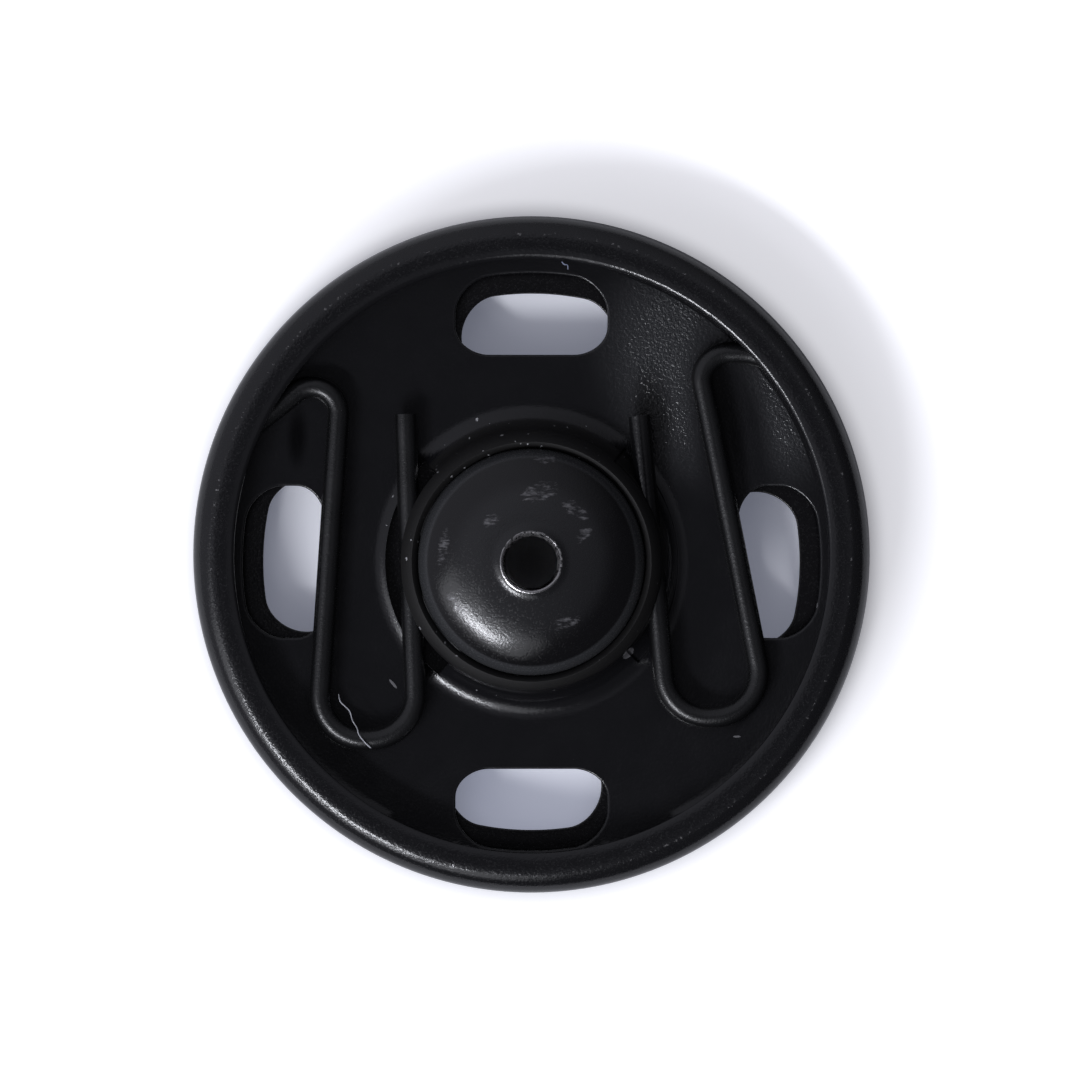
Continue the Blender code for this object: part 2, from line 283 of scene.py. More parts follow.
round_middle = add(pressed_disc, "GeometryNodeInstanceOnPoints",
                   {"Points": spots, "Instance": given["Quarter"], "Rotation": turn})
zones = [round_middle]
circle = add(pressed_disc, "GeometryNodeCurvePrimitiveCircle",
             {"Resolution": given["Sides"], "Radius": sweep_radius})
upright = add(pressed_disc, "GeometryNodeSetCurveNormal", {"Curve": circle}, mode="Z_UP")
for label in ("Middle section", "Rim section"):
    held = add(pressed_disc, "GeometryNodeObjectInfo", {"Object": given[label]})
    line = add(pressed_disc, "GeometryNodeMeshToCurve", {0: held.outputs["Geometry"]})
    zones.append(add(pressed_disc, "GeometryNodeCurveToMesh", {"Curve": upright, "Profile Curve": line}))
together = add(pressed_disc, "GeometryNodeJoinGeometry")
for zone in zones:
    pressed_disc.links.new(zone.outputs[0], together.inputs[0])
real = add(pressed_disc, "GeometryNodeRealizeInstances", {0: together})
welded = add(pressed_disc, "GeometryNodeMergeByDistance", {"Geometry": real, "Distance": weld_reach})
finish = add(pressed_disc, "GeometryNodeSetMaterial", {0: welded, "Material": given["Paint"]})
add(pressed_disc, "NodeGroupOutput", {0: finish})


def made_by(tree, obj, **values):
    """The plain mesh that a node tree makes of an object, with the tree's named inputs set."""
    modifier = obj.modifiers.new(tree.name, "NODES")
    modifier.node_group = tree
    for socket in tree.interface.items_tree:
        if socket.in_out == "INPUT" and socket.name in values:
            modifier[socket.identifier] = values[socket.name]
    mesh = bpy.data.meshes.new_from_object(obj.evaluated_get(bpy.context.evaluated_depsgraph_get()))
    obj.modifiers.remove(modifier)
    return mesh


def section(name, points):
    """A line of edges for the tree that turns it, with its edge values. The sweep lays its y downwards."""
    mesh = bpy.data.meshes.new(name)
    mesh.from_pydata([(p.x - sweep_radius, -p.y, 0) for p in points],
                     [(i, i + 1) for i in range(len(points) - 1)], [])
    mesh.attributes.new("edge", "FLOAT", "POINT").data.foreach_set("value", [p.z for p in points])
    return linked(name, mesh)


def pressed(name, quarter, middle_points, rim_points, paint):
    """A whole pressed disc from its pierced quarter and the sections of its middle and its rim."""
    middle = section(name + "_middle", middle_points)
    rim = section(name + "_rim", rim_points)
    mesh = made_by(pressed_disc, quarter, **{"Middle section": middle, "Rim section": rim,
                                             "Slots": 4, "Sides": sides, "Paint": paint})
    for helper in (quarter, middle, rim):
        bpy.data.objects.remove(helper)
    return mesh


def outward(mesh, sharp):
    """Faces turned outwards, shaded smooth but for edges sharper than an angle in degrees."""
    bm = bmesh.new()
    bm.from_mesh(mesh)
    bmesh.ops.recalc_face_normals(bm, faces=bm.faces)
    bm.to_mesh(mesh)
    bm.free()
    mesh.shade_smooth()
    mesh.set_sharp_from_angle(angle=math.radians(sharp))


def rise(radius):
    """How far the dished part of a plate has risen at a radius, with a soft start."""
    past = radius - flat_radius
    if past < -dish_blend:
        return 0.0
    if past < dish_blend:
        return math.tan(dish) * (past + dish_blend) ** 2 / (4 * dish_blend)
    return math.tan(dish) * past


def rim_path(far, radius, bead, land, lip, slope, middle, up, edge_round):
    """The sheet's middle from the plate round the bead to the turned-in lip, which curves down by
    slope. up is 1 for a bead that stands above the plate and -1 for one below. The lip's curve takes
    up all but a twentieth of it."""
    bend = (bead - sheet) / 2
    outside = radius - sheet / 2
    across = radius - bead / 2
    crest = middle(across) + up * (bend / math.cos(dish) + bend)
    lip_ends = lip + edge_round
    lip_turns = (across - land + lip_ends) / 2
    lip_bend = (lip_turns - lip_ends) * 0.95 / math.tan(slope / 2)
    corners = [(far, middle(far), 0), (outside, middle(outside), bend), (outside, crest, bend),
               (lip_turns, crest, lip_bend),
               (lip_ends, crest - up * (lip_turns - lip_ends) * math.tan(slope), 0)]
    path = rounded(corners, math.radians(7.5))
    lip_points = 5
    end = path.pop()
    start = path[-1]
    return path + [start.lerp(end, k / lip_points) for k in range(1, lip_points + 1)]


def stud_middle(radius):
    return -sheet / 2 - rise(radius)


def ball_path(near):
    """The sheet's middle from the plate up the neck and over the ball to the hole in its tip."""
    half = sheet / 2
    dome = ball_radius - half
    dome_high = dome_rise - half
    widest = ball_widest - stud_front
    neck = neck_radius - half
    corners = [(near, -half, 0), (neck, -half, neck_fillet + half)]
    swell_steps, dome_steps, lip_steps = 8, 24, 6
    for k in range(swell_steps):
        part = 1 - k / swell_steps
        swell = (ball_radius - neck_radius) * (1 + math.cos(math.pi * part)) / 2
        corners.append((neck + swell, widest - undercut * part, 0))
    last = math.acos(lip_foot / dome)
    for k in range(dome_steps + 1):
        angle = last * k / dome_steps
        corners.append((dome * math.cos(angle), widest + dome_high * math.sin(angle), 0))
    for k in range(1, lip_steps + 1):
        part = k / lip_steps
        radius = lip_foot + (hole_radius + hole_edge_room - lip_foot) * part
        height = widest + dome_high * math.sin(math.acos(radius / dome))
        corners.append((radius, height + hole_lip * part ** 2, 0))
    return rounded(corners, math.radians(7.5))


# Map Range eased at both ends. Its inputs are the value, the two levels it is taken from, and the two it is
# taken to.
eased = {"interpolation_type": "SMOOTHSTEP"}


def black_paint(name, tone, rough, patches):
    """Black stoving paint on metal: a thin shiny skin with fine grain and thicker clouds, rubbed bare in
    flecks on cut edges. patches(tree, place) gives the masks of one piece by name: where it is pitted,
    duller and lighter, rougher and darker, shinier and darker, rubbed through, pale with scuffs, sandy
    and dusty. The lighter places are partly painted reflection, sheen and lamp light, the darker ones
    are painted shade, and one of the pale scuffs is a painted glint."""
    material = bpy.data.materials.new(name)
    material.use_nodes = True
    tree = material.node_tree
    shader = tree.nodes["Principled BSDF"]
    place = add(tree, "ShaderNodeTexCoord").outputs["Object"]
    masks = dict.fromkeys(("dull", "matt", "glossy", "through", "scuffed", "sandy", "dusty"), 0.0)
    masks.update(patches(tree, place))

    # Grain of the paint 0.11 mm across, sand 0.13 mm across under it, and slow waves of 1.5 mm. The real
    # grain is taken as about 0.05 mm across. That is too fine to show, so it is drawn coarser.
    peel = add(tree, "ShaderNodeTexNoise", {"Vector": place, "Scale": 9000, "Detail": 3, "Roughness": 0.65})
    sand = add(tree, "ShaderNodeTexNoise", {"Vector": place, "Scale": 7500, "Detail": 2, "Roughness": 0.6})
    waves = add(tree, "ShaderNodeTexNoise", {"Vector": place, "Scale": 650, "Detail": 1})
    sanded = add(tree, "ShaderNodeMath", {0: sand, 1: masks["sandy"]}, operation="MULTIPLY")
    height = add(tree, "ShaderNodeMath", {0: sanded, 1: 7.0, 2: peel}, operation="MULTIPLY_ADD")
    height = add(tree, "ShaderNodeMath", {0: waves, 1: 2.5, 2: height}, operation="MULTIPLY_ADD")
    lift = add(tree, "ShaderNodeBump", {"Height": height, "Distance": paint_grain, "Strength": 1.0})

    # Gloss: clouds 1.5 mm across where the paint lies thicker, then the duller places, pits 0.11 mm across
    # that break up each highlight, and the rougher places and the shinier ones, which are darkened below as
    # painted shade
    clouds = add(tree, "ShaderNodeTexNoise", {"Vector": place, "Scale": 700, "Detail": 3})
    shine = add(tree, "ShaderNodeMapRange",
                {0: clouds, 1: 0.3, 2: 0.7, 3: rough - 0.02, 4: rough + 0.04}, **eased)
    pits = add(tree, "ShaderNodeMapRange", {0: peel, 1: 0.38, 2: 0.46, 3: 0.75, 4: 0.0}, **eased)
    pits = add(tree, "ShaderNodeMath", {0: pits, 1: masks["pitted"]}, operation="MULTIPLY")
    for mask, roughness in ((masks["dull"], 0.30), (pits, 0.34),
                            (masks["matt"], 0.65), (masks["glossy"], 0.06)):
        shine = add(tree, "ShaderNodeMix", {0: mask, 2: shine, 3: roughness})

    # Bare metal: flecks 0.15 mm across, where the paint is gone from cut edges and rubbed places
    edge = add(tree, "ShaderNodeAttribute", attribute_name="edge").outputs["Fac"]
    flecks = add(tree, "ShaderNodeTexNoise", {"Vector": place, "Scale": 6500, "Detail": 4, "Roughness": 0.7})
    worn = add(tree, "ShaderNodeMath", {0: edge, 1: masks["through"]}, operation="MAXIMUM")
    worn = add(tree, "ShaderNodeMath", {0: worn, 1: flecks}, operation="ADD")
    bare = add(tree, "ShaderNodeMapRange", {0: worn, 1: 1.38, 2: 1.58, 3: 0.0, 4: 1.0}, **eased)

    # Pale scuffs, drawn out into streaks 0.13 mm wide. On the socket one of them is a painted glint.
    drawn = add(tree, "ShaderNodeMapping", {"Vector": place, "Rotation": (0, 0, math.radians(25)),
                                            "Scale": (2200, 7500, 4000)})
    streaks = add(tree, "ShaderNodeTexNoise", {"Vector": drawn, "Scale": 1, "Detail": 4, "Roughness": 0.7})
    scuff_and_glint = add(tree, "ShaderNodeMath", {0: streaks, 1: masks["scuffed"]}, operation="ADD")
    scuff_and_glint = add(tree, "ShaderNodeMapRange", {0: scuff_and_glint, 1: 1.26, 2: 1.56, 3: 0.0, 4: 0.8}, **eased)

    # Single specks of dust, up to 0.15 mm across, pushed out of round
    stray = add(tree, "ShaderNodeVectorMath", {0: flecks.outputs["Color"], 1: (0.25 * mm,) * 3, 2: place},
                operation="MULTIPLY_ADD")
    specks = add(tree, "ShaderNodeTexVoronoi", {"Vector": stray, "Scale": 3500})
    chosen = add(tree, "ShaderNodeSeparateColor", {0: specks.outputs["Color"]})
    chosen = add(tree, "ShaderNodeMath", {0: chosen, 1: masks["dusty"]}, operation="ADD")
    reach = add(tree, "ShaderNodeMapRange", {0: chosen, 1: 0.93, 2: 1.5, 3: 0.0, 4: 0.34}, **eased)
    speck = add(tree, "ShaderNodeMath", {0: specks.outputs["Distance"], 1: reach}, operation="LESS_THAN")

    # Colour. The lighter mix is partly painted light: reflection and sheen on the ball, and lamp light on the
    # socket's sandy patch. Both dark mixes are painted shade. The pale mix holds one painted glint.
    colour = linear(tone)
    for mask, shade in ((masks["dull"], "#3a3b3d"), (masks["glossy"], "#040405"), (masks["matt"], "#060505"),
                        (scuff_and_glint, "#777679"), (speck, "#a3a3a6"), (bare, "#b3b1b2")):
        mixed = add(tree, "ShaderNodeMix", {0: mask, 6: colour, 7: linear(shade)}, data_type="RGBA")
        colour = mixed.outputs[2]
    tree.links.new(colour, shader.inputs["Base Color"])
    tree.links.new(bare.outputs[0], shader.inputs["Metallic"])
    tree.links.new(shine.outputs[0], shader.inputs["Roughness"])
    tree.links.new(lift.outputs[0], shader.inputs["Normal"])
    return material


def flat_distance(tree, place, x, y, turn=0, unit_along=1, unit_across=1):
    """Distance from an upright axis through a point, seen from above, all in mm. For a long shape it is
    counted in one unit along a line turned by some degrees, and in another across it."""
    near = add(tree, "ShaderNodeMapping", {"Vector": place, "Location": (x * mm, y * mm, 0),
                                           "Rotation": (0, 0, math.radians(turn)),
                                           "Scale": (unit_along * mm, unit_across * mm, mm)},
               vector_type="TEXTURE")
    level = add(tree, "ShaderNodeVectorMath", {0: near, 1: (1, 1, 0)}, operation="MULTIPLY")
    return add(tree, "ShaderNodeVectorMath", {0: level}, operation="LENGTH").outputs["Value"]


def strokes(tree, place, marks, strength):
    """Soft long marks, each as (x, y, turn, length, width) in mm and degrees."""
    strongest = 0.0
    for x, y, turn, length, width in marks:
        near = flat_distance(tree, place, x, y, turn, length / 2, width / 2)
        soft = add(tree, "ShaderNodeMapRange", {0: near, 1: 0.2, 2: 1.0, 3: strength, 4: 0.0}, **eased)
        strongest = add(tree, "ShaderNodeMath", {0: strongest, 1: soft}, operation="MAXIMUM")
    return strongest


def soft_ring(tree, distance, rising, falling, strength):
    """A ring that comes in between one pair of distances from its middle and goes between another."""
    come = add(tree, "ShaderNodeMapRange",
               {0: distance, 1: rising[0], 2: rising[1], 3: 0.0, 4: strength}, **eased)
    go = add(tree, "ShaderNodeMapRange", {0: distance, 1: falling[0], 2: falling[1], 3: 1.0, 4: 0.0}, **eased)
    return add(tree, "ShaderNodeMath", {0: come, 1: go}, operation="MULTIPLY")


def ball_wear_and_sheen(tree, place):
    """Duller and lighter on the flatter top of the ball and round its widest place: rubbed paint, with a
    painted reflection on the top and a painted sheen round the widest place. Pale scuffs in a few
    patches, and rubbed through on the lip of the hole, most at the lower left."""
    out = flat_distance(tree, place, 0, -off_centre / mm)
    # Lighter top: partly a painted reflection of the room above. Lighter ring round the widest place: partly a
    # painted sheen.
    top = add(tree, "ShaderNodeMapRange", {0: out, 1: 2.9, 2: 3.8, 3: 0.24, 4: 0.06}, **eased)
    widest = soft_ring(tree, out, (4.55, 4.68), (5.0, 5.2), 0.7)
    dull = add(tree, "ShaderNodeMath", {0: top, 1: widest}, operation="ADD")
    scuffs = strokes(tree, place, ((0.35, 2.75, 15, 4.4, 2.2), (-1.8, 1.5, 30, 2.4, 1.4),
                                   (1.9, 2.0, -35, 3.6, 1.6), (-3.9, 0.4, 80, 4.4, 1.3),
                                   (2.3, 0.9, 40, 2.6, 1.3), (-3.3, -2.2, -50, 3.6, 1.6),
                                   (1.5, -3.0, 20, 3.6, 1.6), (0.6, 4.2, 0, 3.0, 1.0)), 0.84)
    dust = add(tree, "ShaderNodeMath", {0: scuffs, 1: 0.12}, operation="MULTIPLY")
    lip = add(tree, "ShaderNodeMapRange", {0: out, 1: 1.36, 2: 1.46, 3: 1.3, 4: 0.0}, **eased)
    lower_left = flat_distance(tree, place, -0.5, -1.3)
    side = add(tree, "ShaderNodeMapRange", {0: lower_left, 1: 0.8, 2: 2.2, 3: 1.0, 4: 0.72}, **eased)
    through = add(tree, "ShaderNodeMath", {0: lip, 1: side}, operation="MULTIPLY")
    return {"pitted": 1.0, "dull": dull, "through": through, "scuffed": scuffs, "dusty": dust}


stud_near = 6.2 * mm
stud_far = 12.6 * mm
stud_paint = black_paint("black_stoving_paint_rubbed_and_sheen", tone="#09080a", rough=0.08, patches=ball_wear_and_sheen)
stud_quarter = pierced_quarter("stud_quarter", stud_near, stud_far, stud_middle, stud_slot,
                               slot_edge_round, slot_edge_round)
stud_ball = skin(ball_path(stud_near), hole_edge_round, 0)
stud_rim = skin(rim_path(stud_far, stud_radius, stud_bead, stud_land, stud_lip, stud_lip_slope,
                         stud_middle, -1, stud_lip_round), stud_lip_round, 0.4)
stud_mesh = pressed("stud_half_disc", stud_quarter, stud_ball, stud_rim, stud_paint)
stud_mesh.transform(Matrix.Translation((0, -off_centre, stud_front)) @ Matrix.Rotation(stud_turn, 4, "Z"))
outward(stud_mesh, sharp=50)
stud = linked("stud_half_disc", stud_mesh)
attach(stud, "stud_half")
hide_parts("stud_disc")


# Socket disc, the half on top. One blank of the same sheet, drawn up into a collar that takes the ball,
# with two windows in the collar's wall for the spring, four straight-sided thread slots, and its edge
# curled up and over the spring. The curl was rolled a little off the middle of the collar.
socket_radius = 15.0 * mm
socket_bead = 2.1 * mm
socket_land = 0.29 * mm
socket_lip = 13.16 * mm
lip_slope = math.radians(14)
mouth_play = 0.04 * mm
collar_radius = 5.81 * mm
collar_lean = math.radians(15)
roof_slope = math.radians(38)
shoulder_rise = 0.15 * mm
collar_fillet = 1.2 * mm
window_radius = 6.5 * mm
window_half = math.radians(47)
spring_turn = math.radians(3.7)
socket_slot = {"outer": 12.82 * mm, "width": 3.62 * mm, "length": 6.75 * mm, "corner": 1.5 * mm, "follow": 0}
window_play = 0.05 * mm
socket_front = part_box("socket_disc")[0].z
window_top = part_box("spring")[1].z + window_play - socket_front

slot_front_round = 0.08 * mm
slot_back_round = 0.05 * mm
mouth_edge_round = 0.015 * mm
lip_edge_round = 0.18 * mm
curl_from = 12.95 * mm
curl_blend = 0.3 * mm


def socket_middle(radius):
    return sheet / 2 + rise(radius)


def collar_path(near, edge_round):
    """The sheet's middle from the plate up the leaning wall and over the roof to the mouth."""
    half = sheet / 2
    lean = math.tan(collar_lean)
    wall = collar_radius - half / math.cos(collar_lean)
    shoulder = wall - shoulder_rise * lean
    mouth = (ball_radius + mouth_play + edge_round * math.cos(roof_slope)
             + (half - edge_round) * math.sin(roof_slope))
    roof = (shoulder - mouth) / math.cos(roof_slope)
    roof_bend = 0.98 * roof / math.tan((math.pi / 2 - collar_lean - roof_slope) / 2)
    corners = [(near, half, 0), (wall + (window_top - half) * lean, half, collar_fillet + half),
               (shoulder, window_top + shoulder_rise, roof_bend),
               (mouth, window_top + shoulder_rise + roof * math.sin(roof_slope), 0)]
    return rounded(corners, math.radians(5))


def window_cutter():
    """Two sectors that cut the windows, as wide as the spring's legs need."""
    bm = bmesh.new()
    half_steps = 24
    for side in (spring_turn, spring_turn + math.pi):
        turns = [side + window_half * (k / half_steps - 1) for k in range(2 * half_steps + 1)]
        outline = [(window_radius, a) for a in turns] + [(neck_radius, a) for a in reversed(turns)]
        bottom = [bm.verts.new((r * math.cos(a), r * math.sin(a), -sheet)) for r, a in outline]
        top = [bm.verts.new((v.co.x, v.co.y, window_top)) for v in bottom]
        bm.faces.new(bottom)
        bm.faces.new(top)
        for k in range(len(outline)):
            after = (k + 1) % len(outline)
            bm.faces.new((bottom[k], bottom[after], top[after], top[k]))
    bmesh.ops.recalc_face_normals(bm, faces=bm.faces)
    mesh = bpy.data.meshes.new("window_cutter")
    bm.to_mesh(mesh)
    bm.free()
    return linked("window_cutter", mesh)


def rim_wear_and_painted_light(tree, place):
    """Sandy on the upper right of the plate and by the rim, and lighter there as a painted pool of lamp
    light, rubbed through in specks along the crest, with a few scratches and one painted glint, rougher,
    without gloss, and dusty in the crevice round the ball and darker there as painted shade, and darker
    as painted shade beside the wire."""
    out = flat_distance(tree, place, 0, 0)
    crest = soft_ring(tree, out, (13.9, 14.15), (14.2, 14.6), 0.8)
    # The first mark, at the end of the collar's wall by the lower end of the right window, is a painted glint;
    # the rest are scratches
    scratches_and_glint = strokes(tree, place, ((4.30, -4.39, 46, 1.1, 0.55), (-6.14, -5.76, -50, 0.9, 0.2),
                                      (9.12, -8.09, 0, 0.6, 0.16), (12.62, -2.2, 100, 0.6, 0.3)), 1.6)

    # The sandy patch, lighter as a painted pool of lamp light on the dished plate, but for a strip beside
    # the right leg of the spring, where the leg's painted shadow falls
    upper_right = flat_distance(tree, place, 9.3, 9.0)
    lit_sandy_patch = add(tree, "ShaderNodeMapRange", {0: upper_right, 1: 3.8, 2: 7.4, 3: 1.0, 4: 0.0}, **eased)
    by_leg = flat_distance(tree, place, 9.0, 5.0, turn=100, unit_along=5.5, unit_across=1.8)
    off_leg_shadow = add(tree, "ShaderNodeMapRange", {0: by_leg, 1: 0.5, 2: 1.3, 3: 0.0, 4: 1.0}, **eased)
    on_plate = add(tree, "ShaderNodeMapRange", {0: out, 1: 13.0, 2: 13.1, 3: 1.0, 4: 0.0}, **eased)
    lit_sandy_patch = add(tree, "ShaderNodeMath", {0: lit_sandy_patch, 1: off_leg_shadow}, operation="MULTIPLY")
    lit_sandy_patch = add(tree, "ShaderNodeMath", {0: lit_sandy_patch, 1: on_plate}, operation="MULTIPLY")
    # The patch's lighter paint is painted lamp light
    dull = add(tree, "ShaderNodeMath", {0: lit_sandy_patch, 1: 0.45}, operation="MULTIPLY")

    # The curl is a little sandy up to its crest, and pitted all over
    to_crest = add(tree, "ShaderNodeMapRange", {0: out, 1: 13.3, 2: 14.0, 3: 0.1, 4: 0.3}, **eased)
    past_crest = add(tree, "ShaderNodeMapRange", {0: out, 1: 14.2, 2: 14.4, 3: 1.0, 4: 0.1}, **eased)
    curl = add(tree, "ShaderNodeMath", {0: to_crest, 1: past_crest}, operation="MULTIPLY")
    sandy = add(tree, "ShaderNodeMath", {0: lit_sandy_patch, 1: curl}, operation="MAXIMUM")
    on_curl = add(tree, "ShaderNodeMapRange", {0: out, 1: 13.1, 2: 13.6, 3: 0.12, 4: 1.0}, **eased)
    pitted = add(tree, "ShaderNodeMath", {0: lit_sandy_patch, 1: on_curl}, operation="MAXIMUM")

    # Dust lies in the crevice round the ball, most at the left, and a little on the crest
    crevice = add(tree, "ShaderNodeMapRange", {0: out, 1: 6.6, 2: 7.6, 3: 0.33, 4: 0.0}, **eased)
    from_left = flat_distance(tree, place, -5.0, 1.0)
    left = add(tree, "ShaderNodeMapRange", {0: from_left, 1: 5.0, 2: 10.0, 3: 1.0, 4: 0.4}, **eased)
    crevice = add(tree, "ShaderNodeMath", {0: crevice, 1: left}, operation="MULTIPLY")
    on_crest = add(tree, "ShaderNodeMath", {0: crest, 1: 0.1}, operation="MULTIPLY")
    dusty = add(tree, "ShaderNodeMath", {0: crevice, 1: on_crest}, operation="MAXIMUM")

    # Painted shade: the paint is made darker and shinier beside the wire, right of the right leg and outside
    # both bends, and right of the right inner leg's end, where the wire shades the plate
    painted_shade_by_wire = strokes(tree, place, ((8.75, 6.0, 100, 8.4, 1.7), (-8.9, -7.2, -52, 5.0, 1.7),
                                    (9.6, -6.6, 60, 3.6, 1.2), (-10.4, 5.2, 88, 3.6, 1.2),
                                    (5.4, 6.2, 95, 6.0, 2.4)), 1.0)
    # Painted shade: rougher and darker in the recess round the ball
    collar = add(tree, "ShaderNodeMapRange", {0: out, 1: 5.9, 2: 6.15, 3: 1.0, 4: 0.0}, **eased)
    return {"pitted": pitted, "dull": dull, "matt": collar, "glossy": painted_shade_by_wire, "through": crest,
            "scuffed": scratches_and_glint, "sandy": sandy, "dusty": dusty}


socket_near = 7.3 * mm
socket_far = 13.25 * mm
socket_paint = black_paint("black_stoving_paint", tone="#161618", rough=0.11, patches=rim_wear_and_painted_light)
socket_quarter = pierced_quarter("socket_quarter", socket_near, socket_far, socket_middle, socket_slot,
                                 slot_front_round, slot_back_round)
socket_collar = skin(collar_path(socket_near, mouth_edge_round), mouth_edge_round, 0)
socket_rim = skin(rim_path(socket_far, socket_radius, socket_bead, socket_land, socket_lip, lip_slope,
                           socket_middle, 1, lip_edge_round), lip_edge_round, 0.6)
socket_mesh = pressed("socket_half_disc", socket_quarter, socket_collar, socket_rim, socket_paint)
for vert in socket_mesh.vertices:
    part = min(max((vert.co.xy.length - curl_from) / curl_blend, 0), 1)
    vert.co.y += off_centre * part * part * (3 - 2 * part)
outward(socket_mesh, sharp=50)
socket = linked("socket_half_disc", socket_mesh)
cutter = window_cutter()
windows = socket.modifiers.new("windows", "BOOLEAN")
windows.operation = "DIFFERENCE"
windows.solver = "EXACT"
windows.object = cutter
socket_mesh = bpy.data.meshes.new_from_object(socket.evaluated_get(bpy.context.evaluated_depsgraph_get()))
socket.modifiers.remove(windows)
bpy.data.objects.remove(cutter)
socket_mesh.transform(Matrix.Translation((0, -off_centre, socket_front)))
outward(socket_mesh, sharp=35)
socket.data = socket_mesh
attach(socket, "socket_half")
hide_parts("socket_disc")


# Spring, one round wire bent in a flat loop and blackened with the disc. Its middle is held under the
# curled rim, and its two free legs lie in the collar's windows and grip the ball.
wire = 0.97 * mm
grip_play = 0.1 * mm
free_ends = (6.9 * mm, 6.15 * mm)
inner_lean = math.radians(1.7)
outer_leg_inset = 4.9 * mm
outer_lean = math.radians(7.5)
bend_depth = 7.4 * mm
bend_radius = 2.0 * mm
hook_radius = 1.17 * mm
hook_leans = (math.radians(35), math.radians(4))
hook_reach = 1.65 * mm
hook_blend = 3.0 * mm
rim_meets = (math.radians(18), math.radians(29))
rim_wire_radius = socket_radius - socket_bead / 2
spring_height = (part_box("spring")[0].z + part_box("spring")[1].z) / 2
rim_middle = Matrix.Rotation(-spring_turn, 2) @ Vector((0, off_centre))


def spring_side(side, free_end, hook_lean, meets_at):
    """One end of the spring, from its free end to where it meets the curve of the rim. The side is 1
    for +X and -1 for -X."""
    middle = Vector((side * rim_middle.x, rim_middle.y))
    along_rim = Vector((-math.sin(meets_at), math.cos(meets_at)))
    meets = middle + rim_wire_radius * Vector((math.cos(meets_at), math.sin(meets_at)))
    inner_leg = neck_radius + wire / 2 + grip_play
    outer_leg = rim_wire_radius - outer_leg_inset
    inner_slope = math.tan(inner_lean)
    outer_slope = math.tan(outer_lean)
    hook_slope = math.tan(hook_lean)
    blend_at = meets + along_rim * hook_reach
    top = (blend_at.y + hook_slope * (blend_at.x - outer_leg)) / (1 - hook_slope * outer_slope)
    corners = [(inner_leg - inner_slope * free_end, free_end, 0),
               (inner_leg + inner_slope * bend_depth, -bend_depth, bend_radius),
               (outer_leg + outer_slope * bend_depth, -bend_depth, bend_radius),
               (outer_leg - outer_slope * top, top, hook_radius),
               (blend_at.x, blend_at.y, hook_blend),
               (meets.x, meets.y, 0)]
    return [Vector((side * p.x, p.y)) for p in rounded(corners, math.radians(5))]


def spring_route():
    """The whole wire from one free end to the other, before it is turned to its place."""
    left, right = [spring_side(*sizes) for sizes in zip((-1, 1), free_ends, hook_leans, rim_meets)]
    start = left[-1] - rim_middle
    sweep = math.pi + sum(rim_meets)
    steps = 110
    under_rim = [rim_middle + Matrix.Rotation(sweep * k / steps, 2) @ start for k in range(1, steps)]
    return left + under_rim + right[::-1]


bent_wire = bpy.data.node_groups.new("bent_wire", "GeometryNodeTree")
for label, kind in (("Route", "Geometry"), ("Wire", "Float"), ("Sides", "Int"), ("Paint", "Material")):
    bent_wire.interface.new_socket(label, in_out="INPUT", socket_type="NodeSocket" + kind)
bent_wire.interface.new_socket("Wire shape", in_out="OUTPUT", socket_type="NodeSocketGeometry")
given = add(bent_wire, "NodeGroupInput").outputs
half_wire = add(bent_wire, "ShaderNodeMath", {0: given["Wire"], 1: 0.5}, operation="MULTIPLY")
route = add(bent_wire, "GeometryNodeMeshToCurve", {0: given["Route"]})
ring = add(bent_wire, "GeometryNodeCurvePrimitiveCircle", {"Resolution": given["Sides"], "Radius": half_wire})
tube = add(bent_wire, "GeometryNodeCurveToMesh", {"Curve": route, "Profile Curve": ring, "Fill Caps": True})
real = add(bent_wire, "GeometryNodeRealizeInstances", {0: tube})
finish = add(bent_wire, "GeometryNodeSetMaterial", {0: real, "Material": given["Paint"]})
add(bent_wire, "NodeGroupOutput", {0: finish})


def along(name, points, diameter, around, material):
    """A plain mesh of a round wire or fibre along points."""
    mesh = bpy.data.meshes.new(name)
    mesh.from_pydata(points, [(i, i + 1) for i in range(len(points) - 1)], [])
    line = linked(name, mesh)
    made = made_by(bent_wire, line, **{"Wire": diameter, "Sides": around, "Paint": material})
    bpy.data.objects.remove(line)
    return made


def wire_wear_and_shade(tree, place):
    """A little duller and lighter along the top of the wire in long clouds, with a little dust, and darker
    as painted shade on the right inner leg.
    """
    clouds = add(tree, "ShaderNodeTexNoise", {"Vector": place, "Scale": 400, "Detail": 2})
    high = add(tree, "ShaderNodeSeparateXYZ", {0: place}).outputs["Z"]
    top = add(tree, "ShaderNodeMapRange", {0: high, 1: spring_height + 0.15 * mm, 2: spring_height + 0.43 * mm,
                                           3: 0.0, 4: 0.15}, **eased)
    rubbed = add(tree, "ShaderNodeMapRange", {0: clouds, 1: 0.3, 2: 0.65, 3: 0.5, 4: 1.0}, **eased)
    dull = add(tree, "ShaderNodeMath", {0: top, 1: rubbed}, operation="MULTIPLY")
    # Painted shade: the right inner leg is made darker and shinier than the rest of the wire, where the
    # ball shades it
    painted_shade_on_leg = strokes(tree, place, ((5.05, 2.1, 95, 12.0, 1.8),), 1.0)
    return {"pitted": 0.5, "dull": dull, "glossy": painted_shade_on_leg, "sandy": 0.2, "dusty": 0.1}


